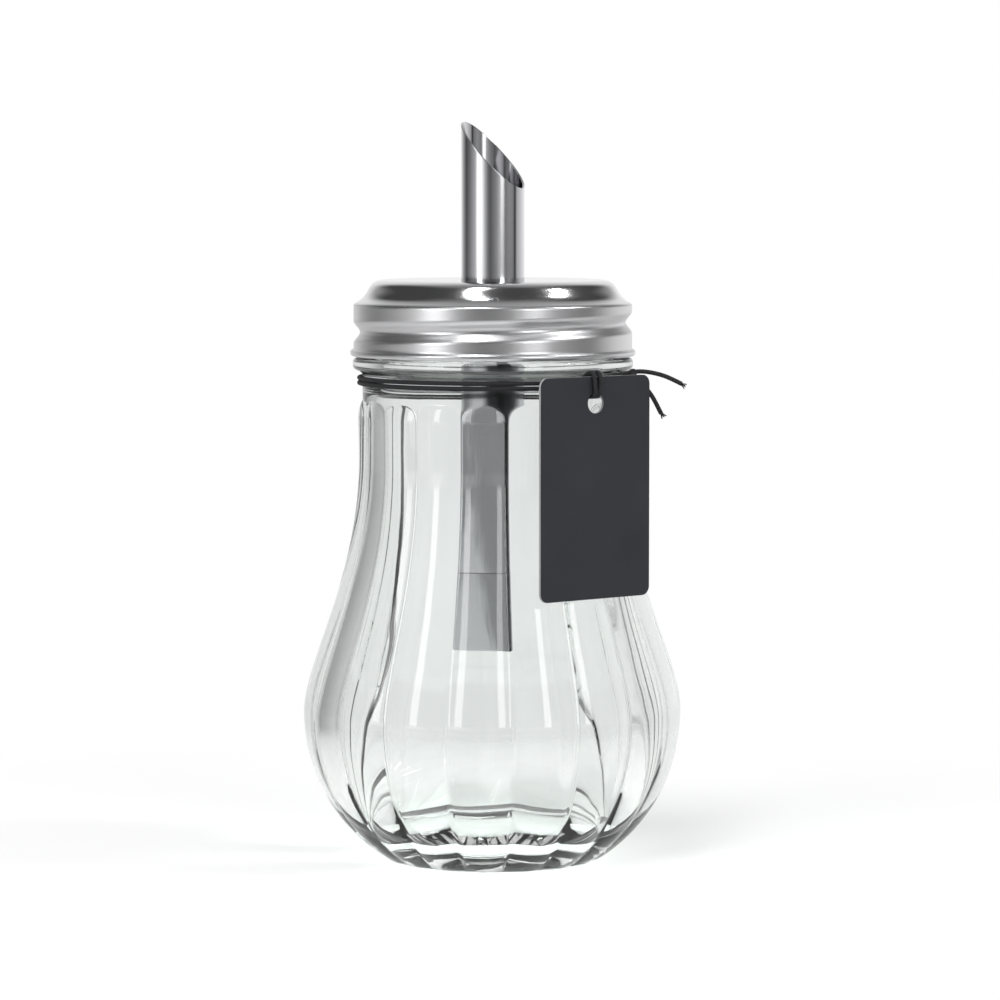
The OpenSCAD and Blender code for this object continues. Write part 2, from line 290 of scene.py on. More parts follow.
def drawn_steel(finish):
    """Polished tube with fine lines along its length."""
    s = Shader("drawn_steel")
    lines = s.noise(s.place((1, 1, 0.02)), 2600, 2.0, 0.6)
    cloud = s.noise(s.place((1, 1, 0.5)), 110, 3.0)
    base = s.mix(cloud, rgba([c * 0.9 for c in finish.tube]), rgba(finish.tube))
    rough = 0.09 + 0.1 * cloud * lines
    return s.surface(s.principled(**{"Base Color": base, "Metallic": 1.0, "Roughness": rough,
                                     "Normal": s.bump(lines, 0.00001, 0.35)}))


def seal_foam(finish):
    """Closed foam with fine cells."""
    s = Shader("seal_foam")
    cells = s.noise(s.place(), 2200, 2.0)
    base = s.mix(cells, rgba([c * 0.86 for c in finish.foam]), rgba(finish.foam))
    return s.surface(s.principled(**{"Base Color": base, "Roughness": 0.75,
                                     "Normal": s.bump(cells, 0.00006)}))


def tag_card(finish):
    """Charcoal card with a fine paper tooth and a faint sheen."""
    s = Shader("tag_card")
    tooth = s.noise(s.place(), 1500, 4.0, 0.65)
    cloud = s.noise(s.place(), 55, 3.0)
    base = s.mix(cloud, rgba([c * 0.8 for c in finish.card]), rgba([c * 1.25 for c in finish.card]))
    rough = 0.46 + 0.14 * tooth
    return s.surface(s.principled(**{"Base Color": base, "Roughness": rough, "Specular IOR Level": 0.3,
                                     "Normal": s.bump(tooth, 0.00003, 0.6)}))


def card_edge(finish):
    """Pale cut edge of the card, in layers."""
    s = Shader("card_edge")
    tooth = s.noise(s.place(), 2600, 3.0, 0.7)
    base = s.mix(tooth, rgba([c * 0.55 for c in finish.edge]), rgba(finish.edge))
    return s.surface(s.principled(**{"Base Color": base, "Roughness": 0.85,
                                     "Normal": s.bump(tooth, 0.00005)}))


def braided_cord(finish):
    """Black elastic cord: its braid follows the cord's own map, one turn to a unit across; its colour carries
    painted shade in the braid's grooves and a painted sheen on its crests.
    """
    s = Shader("braided_cord")
    at = s.out(s.node("ShaderNodeUVMap", {"uv_map": "braid"}))
    parts = s.node("ShaderNodeSeparateXYZ", {}, {0: at})
    along = s.out(parts, 0)
    round_it = s.out(parts, 1)
    one = s.maths("SINE", (along * 1.5 + round_it * 4) * math.tau)
    two = s.maths("SINE", (along * 1.5 - round_it * 4) * math.tau)
    braid_relief_and_shade = s.maths("MAXIMUM", one, two) * 0.5 + 0.5
    # Painted shade in the braid's grooves and painted sheen on its crests: the colour follows the braid's
    # relief
    base = s.mix(braid_relief_and_shade, rgba([c * 0.4 for c in finish.cord]), rgba([c * 2.6 for c in finish.cord]))
    return s.surface(s.principled(**{"Base Color": base, "Roughness": 0.62, "Specular IOR Level": 0.2,
                                     "Normal": s.bump(braid_relief_and_shade, 0.00012, 0.8)}))


# Modelling helpers

def clear_selection():
    if bpy.context.object and bpy.context.object.mode != "OBJECT":
        bpy.ops.object.mode_set(mode="OBJECT")
    bpy.ops.object.select_all(action="DESELECT")


def current(name):
    """Names the object just added and puts its place into its mesh."""
    made = bpy.context.object
    made.name = name
    made.data.name = name
    bpy.ops.object.transform_apply(location=True, rotation=True, scale=True)
    return made


def finish_mesh(made, material, angle=math.radians(40)):
    """Smooth shading and a material."""
    clear_selection()
    made.select_set(True)
    bpy.context.view_layer.objects.active = made
    bpy.ops.object.shade_smooth_by_angle(angle=angle)
    made.data.materials.clear()
    made.data.materials.append(material)
    return made


def modifier(made, kind, **settings):
    """Adds a modifier and applies it."""
    clear_selection()
    made.select_set(True)
    bpy.context.view_layer.objects.active = made
    added = made.modifiers.new(kind.title(), kind)
    for key, value in settings.items():
        setattr(added, key, value)
    bpy.ops.object.modifier_apply(modifier=added.name)


def cubic(p, t):
    """A point on the curve with four handles."""
    k = 1 - t
    return tuple(k ** 3 * a + 3 * k * k * t * b + 3 * k * t * t * c + t ** 3 * d for a, b, c, d in zip(*p))


def cubic_rows(p, count):
    return [cubic(p, i / count) for i in range(count + 1)]


def thread_bump(point, middle, pitch, width, fade):
    """How far a thread stands out at a point, 0 to 1: a soft hump that rises by a pitch in one turn."""
    turn = math.atan2(point.y, point.x) / math.tau
    tall = 0.0
    for lap in (-1, 0, 1):
        along = turn + 0.25 + lap
        near = (point.z - middle - pitch * along) / width
        if abs(near) < 1 and abs(along) < THREAD_REACH:
            ends = min(1, (THREAD_REACH - abs(along)) / fade)
            tall = max(tall, ends * 0.5 * (1 + math.cos(math.pi * near)))
    return tall


def arc_rows(centre, radius, start, end, count):
    """Points of an arc, as radius and height, with angles in degrees."""
    turns = [math.radians(start + (end - start) * i / count) for i in range(count + 1)]
    return [(centre[0] + radius * math.cos(a), centre[1] + radius * math.sin(a)) for a in turns]


def turned(name, rows, steps, closed=False, classes=None, turn=0.0):
    """A turned shape: one ring is drawn out and scaled from row to row.

    A row is (radius, height), or (list of radii, height), one radius for each class of column.
    """
    clear_selection()
    bpy.ops.mesh.primitive_circle_add(vertices=steps, radius=1.0, location=(0, 0, 0))
    made = current(name)
    mesh = made.data
    base = [math.tau * i / steps for i in range(steps)]
    bpy.ops.object.mode_set(mode="EDIT")
    bpy.ops.mesh.select_all(action="SELECT")
    bm = bmesh.from_edit_mesh(mesh)
    bm.verts.ensure_lookup_table()
    for i, v in enumerate(bm.verts):
        v.co = (math.cos(base[i] + turn), math.sin(base[i] + turn), 0)
    bmesh.update_edit_mesh(mesh)
    height = 0.0
    now = 1.0
    for index, (radius, z) in enumerate(rows):
        if index:
            bpy.ops.mesh.extrude_region_move(TRANSFORM_OT_translate={"value": (0, 0, z - height)})
        else:
            bpy.ops.transform.translate(value=(0, 0, z - height))
        if isinstance(radius, list) or isinstance(now, list):
            bm = bmesh.from_edit_mesh(mesh)
            bm.verts.ensure_lookup_table()
            ring = bm.verts[len(bm.verts) - steps:]
            for i, v in enumerate(ring):
                r = radius[classes(i)] if isinstance(radius, list) else radius
                flat = math.hypot(v.co.x, v.co.y)
                v.co = (v.co.x * r / flat, v.co.y * r / flat, z)
            bmesh.update_edit_mesh(mesh)
        elif radius > 0:
            k = radius / now
            bpy.ops.transform.resize(value=(k, k, 1), center_override=(0, 0, z))
        if radius == 0:
            bpy.ops.mesh.merge(type="CENTER")
            radius = 1e-9
        height = z
        now = radius
    bm = bmesh.from_edit_mesh(mesh)
    for v in bm.verts:
        v.select = False
    bm.select_flush_mode()
    ends = [e for e in bm.edges if len(e.link_faces) == 1]
    for e in ends:
        e.select = True
    bm.select_flush_mode()
    bmesh.update_edit_mesh(mesh)
    if closed:
        bpy.ops.mesh.bridge_edge_loops()
    elif ends:
        bpy.ops.mesh.extrude_region_move()
        bpy.ops.mesh.merge(type="CENTER")
    bpy.ops.mesh.select_all(action="SELECT")
    bpy.ops.mesh.normals_make_consistent(inside=False)
    bpy.ops.object.mode_set(mode="OBJECT")
    return made


def smooth_path(points, pieces, closed=False):
    """Points on a soft curve through the given points."""
    n = len(points)
    got = []
    spans = n if closed else n - 1
    for i in range(spans):
        nearby = [(i + k) % n if closed else min(max(i + k, 0), n - 1) for k in (-1, 0, 1, 2)]
        p = [Vector(points[k]) for k in nearby]
        for j in range(pieces):
            t = j / pieces
            got.append(0.5 * (2 * p[1] + (p[2] - p[0]) * t + (2 * p[0] - 5 * p[1] + 4 * p[2] - p[3]) * t * t
                              + (3 * p[1] - p[0] - 3 * p[2] + p[3]) * t ** 3))
    if not closed:
        got.append(Vector(points[-1]))
    return got


def join(parts):
    """Joins meshes into the first of them."""
    clear_selection()
    for part in parts:
        part.select_set(True)
    bpy.context.view_layer.objects.active = parts[0]
    bpy.ops.object.join()
    return parts[0]


def cord_mesh(name, points, radius, closed=False, sides=14):
    """A round cord with a map whose first number runs along it in millimetres."""
    n = len(points)
    bm = bmesh.new()
    layer = bm.loops.layers.uv.new("braid")
    rings = []
    side = None
    runs = [0.0]
    for i, p in enumerate(points):
        ahead = points[(i + 1) % n] if closed or i < n - 1 else p
        behind = points[i - 1] if closed or i else p
        way = (ahead - behind).normalized()
        if side is None:
            side = way.orthogonal().normalized()
        side = (side - way * side.dot(way)).normalized()
        up = way.cross(side)
        turns = [math.tau * k / sides for k in range(sides)]
        rings.append([bm.verts.new(p + radius * (math.cos(a) * side + math.sin(a) * up)) for a in turns])
        runs.append(runs[-1] + (ahead - p).length / MM)
    for i in range(n if closed else n - 1):
        for k in range(sides):
            m = (k + 1) % sides
            j = (i + 1) % n
            face = bm.faces.new((rings[i][k], rings[i][m], rings[j][m], rings[j][k]))
            for loop, (u, v) in zip(face.loops, ((i, k), (i, k + 1), (i + 1, k + 1), (i + 1, k))):
                loop[layer].uv = (runs[u], v / sides)
    if not closed:
        for ring in (rings[0], rings[-1]):
            bm.faces.new(ring)
    bmesh.ops.recalc_face_normals(bm, faces=bm.faces)
    mesh = bpy.data.meshes.new(name)
    bm.to_mesh(mesh)
    bm.free()
    made = bpy.data.objects.new(name, mesh)
    bpy.context.scene.collection.objects.link(made)
    return made


# Pieces

def sizes():
    return bpy.context.scene.dispenser


class MESH_OT_jar(bpy.types.Operator):
    """Fluted jar of pressed glass"""

    bl_idname = "dispenser.jar"
    bl_label = "Glass jar"

    def rows(self, jar):
        """Outside from the foot's centre to the rim, then the hollow back to its floor's centre."""
        r, neck, foot, up = jar.bulb / 2, jar.neck / 2, jar.foot / 2, jar.bulb_height
        lobe_top = RING_LOW - 6.6 * MM
        low = lobe_top - 13 * MM
        throat = neck - 0.85 * MM
        ring = jar.ring / 2
        mouth = jar.mouth / 2
        half = self.half

        def lobed(radius, plain=0.0):
            deep = jar.depth * radius / r
            return [max(plain, radius - deep * (c / half) ** 2) for c in range(half + 1)]

        foot_curve = [(foot, 0), (foot + 7.5 * MM, 4.6 * MM), (r, 0.485 * up), (r, up)]
        waist_curve = [(r, up), (r, up + 11.7 * MM), (neck, low - 26.9 * MM), (neck, low)]
        rows = [(4 * MM, 1.1 * MM), (9 * MM, 1.05 * MM), (16 * MM, 0.9 * MM), (foot - 5 * MM, 0.6 * MM),
                (foot - 3.4 * MM, 0.15 * MM), (foot - 2.4 * MM, 0), (foot - 0.6 * MM, 0)]
        rows += [(lobed(x), z) for x, z in cubic_rows(foot_curve, 44)]
        rows += [(lobed(x), z) for x, z in cubic_rows(waist_curve, 52)[1:]]
        rows += [(lobed(neck + 0.1 * MM * t), low + 9 * MM * t) for t in (0.25, 0.5, 0.75, 1)]
        for x, z in arc_rows((neck - 1.5 * MM, 0), 1.6 * MM, 6, 90, 15):
            rows.append((lobed(x, throat), lobe_top - 4 * MM + z / 1.6 * 4.4))
        rows += [(throat, lobe_top + 1 * MM), (throat, RING_LOW - 1.2 * MM),
                 (throat + 0.12 * MM, RING_LOW - 0.6 * MM)]
        rows += arc_rows((ring - 1.1 * MM, RING_LOW + 1.1 * MM), 1.1 * MM, -80, 0, 7)
        rows += arc_rows((ring - 0.9 * MM, CAP_LOW.z - 1.2 * MM), 0.9 * MM, 0, 90, 6)
        rows += [(mouth + 0.4 * MM, CAP_LOW.z - 0.3 * MM), (mouth, CAP_LOW.z + 0.1 * MM)]
        rows += [(mouth, THREAD_LOW + (THREAD_HIGH - THREAD_LOW) * i / 26) for i in range(27)]
        rows += arc_rows((mouth - 2 * MM, JAR_TOP - 2 * MM), 2 * MM, 0, 90, 8)
        bore = mouth - 3.2 * MM
        rows += arc_rows((bore + 1.2 * MM, JAR_TOP - 1.2 * MM), 1.2 * MM, 90, 180, 7)
        rows += [(bore, CAP_LOW.z - 1 * MM), (bore + 0.3 * MM, CAP_LOW.z - 4 * MM)]
        inner, slim = r - jar.wall, neck - jar.wall
        rows += [(slim, lobe_top), (slim, low + 4 * MM)]
        high = [(inner, up), (inner, up + 11.4 * MM), (slim, low - 27 * MM), (slim, low)]
        floor = [(foot - 5 * MM, jar.floor), (foot + 6 * MM, jar.floor + 0.6 * MM), (inner, 0.56 * up),
                 (inner, up)]
        rows += cubic_rows(high, 34)[::-1] + cubic_rows(floor, 26)[::-1][1:]
        rows += [(foot - 10 * MM, jar.floor), (7 * MM, jar.floor), (3 * MM, jar.floor)]
        return rows

    def execute(self, context):
        jar = sizes().jar
        per_lobe = 16
        self.half = per_lobe // 2
        steps = jar.lobes * per_lobe

        def column(i):
            k = i % per_lobe
            return k if k <= self.half else per_lobe - k

        made = turned("jar_glass", self.rows(jar), steps, classes=column, turn=jar.turn - math.pi / 2)
        self.raise_thread(made, jar.mouth / 2)
        finish_mesh(made, jar_glass(sizes().finish), math.radians(60))
        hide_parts("glass_jar")
        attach(made, "jar")
        return {"FINISHED"}

    def raise_thread(self, made, mouth):
        """One rounded thread up the mouth, which runs out at both ends."""
        pitch = sizes().cap.pitch
        middle = (THREAD_LOW + THREAD_HIGH) / 2
        height = 0.8 * MM
        for v in made.data.vertices:
            flat = math.hypot(v.co.x, v.co.y)
            if abs(flat - mouth) > 0.01 * MM or not THREAD_LOW < v.co.z < THREAD_HIGH:
                continue
            k = 1 + height * thread_bump(v.co, middle, pitch, 1.1 * MM, 0.05) / flat
            v.co.x *= k
            v.co.y *= k


class MESH_OT_cap(bpy.types.Operator):
    """Rolled screw cap of sheet steel"""

    bl_idname = "dispenser.cap"
    bl_label = "Screw cap"

    def execute(self, context):
        cap = sizes().cap
        r, top, rim = cap.diameter / 2, CAP_HIGH.z, CAP_LOW.z
        hole = sizes().tube.diameter / 2
        shoulder = [(r - 7.2 * MM, top), (r - 3.1 * MM, top), (r - 3.9 * MM, top - 2.4 * MM),
                    (r - 1.7 * MM, top - 4.3 * MM)]
        outer = [(hole, top), (hole + 0.4 * MM, top), (15 * MM, top), (r - 9 * MM, top)]
        outer += cubic_rows(shoulder, 22)
        outer += [(r - 0.9 * MM, top - 4.85 * MM), (r - 0.35 * MM, top - 5.2 * MM),
                  (r - 0.08 * MM, top - 5.5 * MM)]
        count = 60
        high, low = top - 5.8 * MM, rim + 1.9 * MM
        outer += [(r, high + (low - high) * i / count) for i in range(count + 1)]
        inner = []
        for i, (x, z) in enumerate(outer):
            a, b = outer[max(i - 1, 0)], outer[min(i + 1, len(outer) - 1)]
            t = Vector((b[0] - a[0], b[1] - a[1])).normalized()
            inner.append((x + cap.sheet * t.y, z - cap.sheet * t.x))
        curl = arc_rows((r - 0.05 * MM, rim + cap.curl), cap.curl, 80, -250, 24)
        made = turned("cap_shell", outer + curl + inner[::-1], 216, closed=True)
        self.roll_thread(made, cap, high, low)
        finish_mesh(made, turned_steel(sizes().finish))
        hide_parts("screw_cap")
        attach(made, "lid")
        return {"FINISHED"}

    def roll_thread(self, made, cap, high, low):
        """Presses the thread into the skirt as one rising groove with soft ends."""
        middle = (high + low) / 2 - 0.1 * MM
        for v in made.data.vertices:
            if not low - 0.1 * MM <= v.co.z <= high + 0.1 * MM:
                continue
            deep = thread_bump(v.co, middle, cap.pitch, 2.6 * MM, 0.06)
            edge = min(1, (v.co.z - low) / (0.8 * MM), (high - v.co.z) / (0.8 * MM))
            flat = math.hypot(v.co.x, v.co.y)
            k = 1 - cap.groove * deep * max(0, edge) / flat
            v.co.x *= k
            v.co.y *= k


class MESH_OT_tube(bpy.types.Operator):
    """Pouring tube with its slanted mouth, and the ledge inside it"""

    bl_idname = "dispenser.tube"
    bl_label = "Pouring tube"

    def execute(self, context):
        tube = sizes().tube
        r = tube.diameter / 2
        steel = drawn_steel(sizes().finish)
        clear_selection()
        spare = 8 * MM
        long = TUBE_HIGH.z - TUBE_LOW.z + spare
        bpy.ops.mesh.primitive_cylinder_add(vertices=128, radius=r, depth=long, end_fill_type="NOTHING",
                                            location=(0, 0, (TUBE_HIGH.z + TUBE_LOW.z) / 2 + spare / 2))
        made = current("pour_tube")
        facing = Vector((math.cos(tube.turn), math.sin(tube.turn), 0))
        mid = Vector((0, 0, TUBE_HIGH.z - r * math.tan(tube.slope)))
        square = facing * math.sin(tube.slope) + Vector((0, 0, math.cos(tube.slope)))
        bpy.ops.object.mode_set(mode="EDIT")
        bpy.ops.mesh.select_all(action="SELECT")
        bpy.ops.mesh.bisect(plane_co=mid, plane_no=square, clear_outer=True)
        bpy.ops.object.mode_set(mode="OBJECT")
        modifier(made, "SOLIDIFY", thickness=tube.wall, offset=-1, use_even_offset=True)
        modifier(made, "BEVEL", width=0.12 * MM, segments=2, limit_method="ANGLE",
                 angle_limit=math.radians(50))
        finish_mesh(made, steel, math.radians(35))
        modifier(made, "WEIGHTED_NORMAL", keep_sharp=True)
        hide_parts("spout_tube")
        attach(made, "lid")
        flap_low, flap_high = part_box("flap")
        ledge_top = (flap_low.z + flap_high.z) / 2 - 0.28 * MM
        bore = r - tube.wall
        clear_selection()
        bpy.ops.mesh.primitive_circle_add(vertices=96, radius=bore + 0.1 * MM,
                                          location=(0, 0, ledge_top - 0.6 * MM))
        ledge = current("mouth_ledge")
        bpy.ops.object.mode_set(mode="EDIT")
        bpy.ops.mesh.select_all(action="SELECT")
        bpy.ops.mesh.extrude_region_move()
        bpy.ops.transform.resize(value=(0.84, 0.84, 1), center_override=(0, 0, ledge_top))
        bpy.ops.mesh.select_all(action="SELECT")
        bpy.ops.mesh.bisect(plane_co=facing * -1 * MM, plane_no=-facing, clear_outer=True)
        bpy.ops.object.mode_set(mode="OBJECT")
        modifier(ledge, "SOLIDIFY", thickness=0.6 * MM, offset=1)
        modifier(ledge, "BEVEL", width=0.1 * MM, segments=2, limit_method="ANGLE")
        finish_mesh(ledge, steel)
        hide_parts("flap_ledge")
        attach(ledge, "lid")
        return {"FINISHED"}


class MESH_OT_sleeve(bpy.types.Operator):
    """Dosing sleeve on the tube's lower end"""

    bl_idname = "dispenser.sleeve"
    bl_label = "Dosing sleeve"

    def execute(self, context):
        tube = sizes().tube
        low, high = SLEEVE_LOW.z, SLEEVE_HIGH.z
        r_out = (SLEEVE_HIGH.x - SLEEVE_LOW.x) / 2
        r_in = tube.diameter / 2
        edge = 0.12 * MM
        rows = [(r_in, low + edge), (r_in + edge, low), (r_out - edge, low), (r_out, low + edge),
                (r_out, low + 1 * MM), (r_out, high - 1 * MM), (r_out, high - edge), (r_out - edge, high),
                (r_in + edge, high), (r_in, high - edge)]
        made = turned("dose_sleeve", rows, 96, closed=True)
        finish_mesh(made, drawn_steel(sizes().finish), math.radians(35))
        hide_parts("dosing_sleeve")
        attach(made, "lid")
        return {"FINISHED"}


class MESH_OT_tag(bpy.types.Operator):
    """Punched card tag"""

    bl_idname = "dispenser.tag"
    bl_label = "Hang tag"

    def execute(self, context):
        tag = sizes().tag
        low, high = TAG_LOW.z, TAG_HIGH.z
        face = Vector((math.cos(tag.turn), math.sin(tag.turn), 0))
        middle = (TAG_LOW + TAG_HIGH) / 2
        away = middle.dot(face)
        tall = high - low
        clear_selection()
        bpy.ops.mesh.primitive_cube_add(size=1, location=(away, 0, (low + high) / 2),
                                        scale=(tag.thickness, tag.width, tall))
        made = current("card_tag")
        bpy.ops.object.mode_set(mode="EDIT")
        bm = bmesh.from_edit_mesh(made.data)
        for e in bm.edges:
            e.select = abs(e.verts[0].co.x - e.verts[1].co.x) > tag.thickness / 2
        bmesh.update_edit_mesh(made.data)
        bpy.ops.mesh.bevel(offset=tag.corner, segments=8)
        bpy.ops.object.mode_set(mode="OBJECT")
        clear_selection()
        bpy.ops.mesh.primitive_cylinder_add(vertices=64, radius=tag.hole / 2, depth=6 * MM,
                                            location=(away, 0, high - tag.drop), rotation=(0, math.pi / 2, 0))
        punch = current("punch")
        modifier(made, "BOOLEAN", operation="DIFFERENCE", object=punch, solver="EXACT")
        bpy.data.objects.remove(punch)
        modifier(made, "BEVEL", width=0.07 * MM, segments=2, limit_method="ANGLE",
                 angle_limit=math.radians(50))
        made.data.transform(Matrix.Rotation(tag.turn, 4, "Z"))
        finish_mesh(made, tag_card(sizes().finish))
        made.data.materials.append(card_edge(sizes().finish))
        for p in made.data.polygons:
            p.material_index = 0 if abs(p.normal.dot(face)) > 0.6 else 1
        modifier(made, "WEIGHTED_NORMAL", keep_sharp=True)
        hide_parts("hang_tag")
        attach(made, "tag")
        return {"FINISHED"}


# Routes of the cord, the same points as the solids have: turn from +X in degrees, radius and height
CORD_LAP = 29.85
NECK_ROUTE = (
    [(-16, 43.4, -0.9), (-17.5, 39.6, 0.9), (-20, 36, 1.8), (-23.5, 33.6, 1.8), (-29, 31.9, 1.2),
     (-35, 30.6, 0.5), (-42, CORD_LAP, 0.25)]
    + [(a, CORD_LAP, 0) for a in range(-54, -379, -12)]
    + [(-390, CORD_LAP, -0.4), (-402, CORD_LAP, -0.85), (-414, CORD_LAP, -1.1)]
    + [(a, CORD_LAP, -1.1) for a in range(-426, -715, -12)]
    + [(-726, 29.9, -1.1), (-734, 31, -0.8), (-741, 32.7, 0.2), (-744.5, 34, 0.6), (-743.5, 35.6, -0.6),
       (-741, 37.5, -3.4), (-739.5, 39.4, -7.4)]
)
CORD_UP = RING_LOW / MM - 1.7


def around(point):
    """A route's point in metres."""
    turn, radius, rise = point
    a = math.radians(turn)
    return Vector((radius * math.cos(a), radius * math.sin(a), CORD_UP + rise)) * MM


class MESH_OT_cord(bpy.types.Operator):
    """Elastic cord: two laps of the neck, the tag's loop, the knot and the frayed ends"""

    bl_idname = "dispenser.cord"
    bl_label = "Elastic cord"

    def execute(self, context):
        tag = sizes().tag
        black = braided_cord(sizes().finish)
        r = tag.cord / 2
        laps = cord_mesh("cord_laps", smooth_path([around(p) for p in NECK_ROUTE], 6), r)
        laps = self.fray(laps, r, [around(p) for p in NECK_ROUTE])
        self.piece(laps, black, "jar", "neck_cord")
        self.loops(tag, black, r)
        self.knot(black, r)
        return {"FINISHED"}

    def fray(self, laps, r, points):
        """Loose threads that spread from the cord's two cut ends."""
        parts = [laps]
        for end, last in ((points[0], points[1]), (points[-1], points[-2])):
            way = (end - last).normalized()
            side = way.orthogonal().normalized()
            up = way.cross(side)
            for k in range(13):
                a = k * 2.4
                lean = 0.25 + 0.75 * ((k * 5) % 13) / 12
                out = (math.cos(a) * side + math.sin(a) * up) * lean
                long = (0.7 + 0.35 * ((k * 7) % 13) / 12) * MM
                path = [end - way * 0.35 * MM + out * r * 0.6, end + out * r * 0.9,
                        end + way * long * 0.5 + out * r * 1.3, end + way * long + out * r * 2.1]
                parts.append(cord_mesh("thread", smooth_path(path, 3), r * 0.19, sides=6))
        return join(parts)

    def piece(self, made, material, body, node):
        """Finishes one cord piece in place of its solid."""
        finish_mesh(made, material, math.radians(60))
        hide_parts(node)
        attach(made, body)

    def loops(self, tag, black, r):
        """Two strands from the lower lap over the card's top edge, through its hole and back."""
        face = (TAG_LOW + TAG_HIGH) / 2
        back = face.xy.length / MM - tag.thickness / MM / 2
        top = TAG_HIGH.z / MM
        hole = top - tag.drop / MM
        front = back + tag.thickness / MM + r / MM + 0.1
        near = CORD_LAP + 1.05
        down = CORD_UP - 1.1
        route = [(near, 0.8, down + 0.5), (near + 0.7, 0.8, down + 1.4), (back - 1.6, 0.8, top + 0.3),
                 (back - 0.5, 0.8, top + 0.7), (back + 0.4, 0.8, top + 0.8), (front - 0.3, 0.8, top + 0.4),
                 (front, 0.8, top - 0.6), (front, 0.65, top - 2.2), (front - 0.05, 0.52, hole + 2.2),
                 (front - 0.4, 0.52, hole + 1.7), (back + 0.3, 0.52, hole + 1.45),
                 (back - 0.6, 0.55, hole + 1.5), (back - 1.6, 0.65, hole + 2), (near + 0.5, 0.8, down - 0.5)]
        turn = Matrix.Rotation(tag.turn, 3, "Z")
        parts = []
        for side in (-1, 1):
            points = [turn @ Vector((x, side * y, z)) * MM for x, y, z in route]
            parts.append(cord_mesh("tag_cord_loop", smooth_path(points, 6, closed=True), r, closed=True))
        self.piece(join(parts), black, "tag", "tag_loop")

    def knot(self, black, r):
        """An overhand knot drawn tight, as a three-lobed path round the two leads."""
        centre = around((-24, 33.8, 1.2))
        way = (around((-20, 36, 1.2)) - around((-29, 31.9, 1.2))).normalized()
        side = way.orthogonal().normalized()
        up = way.cross(side)
        points = []
        for i in range(60):
            t = math.tau * i / 60
            flat = (math.sin(t) + 2 * math.sin(2 * t)) * 0.3
            tall = (math.cos(t) - 2 * math.cos(2 * t)) * 0.3
            points.append(centre + (flat * side + tall * up - math.sin(3 * t) * 0.42 * way) * MM)
        made = cord_mesh("overhand_knot", points, r * 0.95, closed=True)
        self.piece(made, black, "jar", "cord_knot")


class MESH_OT_finishes(bpy.types.Operator):
    """Materials of the pieces that keep their own solids"""

    bl_idname = "dispenser.finishes"
    bl_label = "Plain pieces"

    def execute(self, context):
        finish = sizes().finish
        steel = drawn_steel(finish)
        plain = {"cap_liner": seal_foam(finish), "tube_collar": steel, "flap": steel, "flap_pin": steel}
        for node, material in plain.items():
            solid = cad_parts[node]
            solid.data.materials.clear()
            solid.data.materials.append(material)
        return {"FINISHED"}


# The room that metal and glass mirror, by height: turn from the front in degrees, right is plus, then tone.
# INSIDE_LEVEL is for rays that were mirrored inside the glass, THROUGH_GLASS for those that only passed it.
HIGH_LEVEL = ((-180, 1), (-134, 0.55), (-115, 0.04), (-96, 0.1), (-75, 0.2), (-42, 0.15), (-20, 0.06),
              (0, 0.05), (25, 0.08), (46, 0.15), (62, 0.42), (74, 0.12), (90, 0.09), (106, 0.5), (120, 0.8),
              (180, 1))
SOFT_BOXES = ((-180, 0), (-57, 0), (-55, 1), (-42, 1), (-40, 0), (27, 0), (29, 1), (40, 1), (42, 0), (180, 0))
INSIDE_LEVEL = ((-180, 0.9), (-140, 0.6), (-118, 0.25), (-100, 0.35), (-70, 0.8), (-40, 0.8), (-26, 0.3),
                (-14, 0.03), (45, 0.02), (80, 0.03), (97, 0.3), (118, 0.8), (180, 0.9))
EYE_LEVEL = ((-180, 1.1), (-150, 1), (-134, 0.5), (-112, 0.09), (-94, 0.2), (-80, 0.39), (-66, 0.7), (-58, 2),
             (-38, 1.8), (-28, 0.8), (-18, 0.3), (-9, 0.15), (1, 0.29), (13, 0.45), (23, 0.77), (35, 0.76),
             (46, 0.29), (58, 0.38), (71, 0.39), (81, 0.3), (85, 0.03), (90, 0.05), (97, 0.6), (118, 0.85),
             (144, 1.1), (180, 1.1))
TABLE_LEVEL = ((-180, 0.9), (-155, 0.8), (-136, 0.35), (-110, 0.3), (-92, 0.55), (-74, 0.65), (-52, 0.5),
               (-33, 0.24), (-15, 0.12), (0, 0.08), (42, 0.08), (84, 0.12), (97, 0.3), (118, 0.8), (144, 0.9),
               (180, 0.9))
THROUGH_GLASS = ((-180, 0.88), (-130, 0.84), (-95, 0.6), (-60, 0.5), (0, 0.45), (60, 0.5), (95, 0.6),
                 (130, 0.84), (180, 0.88))
# The roof's middle by how far back a ray goes, its sides by how steeply it goes up
CROWN = ((0.4, 0.06), (0.5, 0.2), (0.7, 0.42), (0.95, 0.9))
SIDES = ((0.25, 0.43), (0.34, 0.33), (0.43, 0.15), (0.52, 0.06))
STEEP = 0.6
BOX_TONE = 5
# Ramps hold no more than 1, so tones are kept as parts of this and the background's strength brings them back
FULL_TONE = 8
SOFT_LIGHT = 0.55
WHITE = (1, 1, 1, 1)
# Lamps: place, size, watts and whether metal and glass show them
LAMPS = {
    "left_box": ((-0.75, -0.75, 0.55), (0.35, 0.9), 6, False),
    "right_box": ((0.65, -0.85, 0.5), (0.2, 0.8), 4, False),
    "left_spot": ((-0.2, -0.41, 1.07), (0.13, 0.45), 3, True),
    "right_spot": ((0.78, -0.12, 0.98), (0.12, 0.16), 3, True),
}
LAMP_TARGET = Vector((0, 0, 0.08))
CAMERA_PLACE = (0.0016, -0.9, 0.151)
CAMERA_DOWN = 4.5


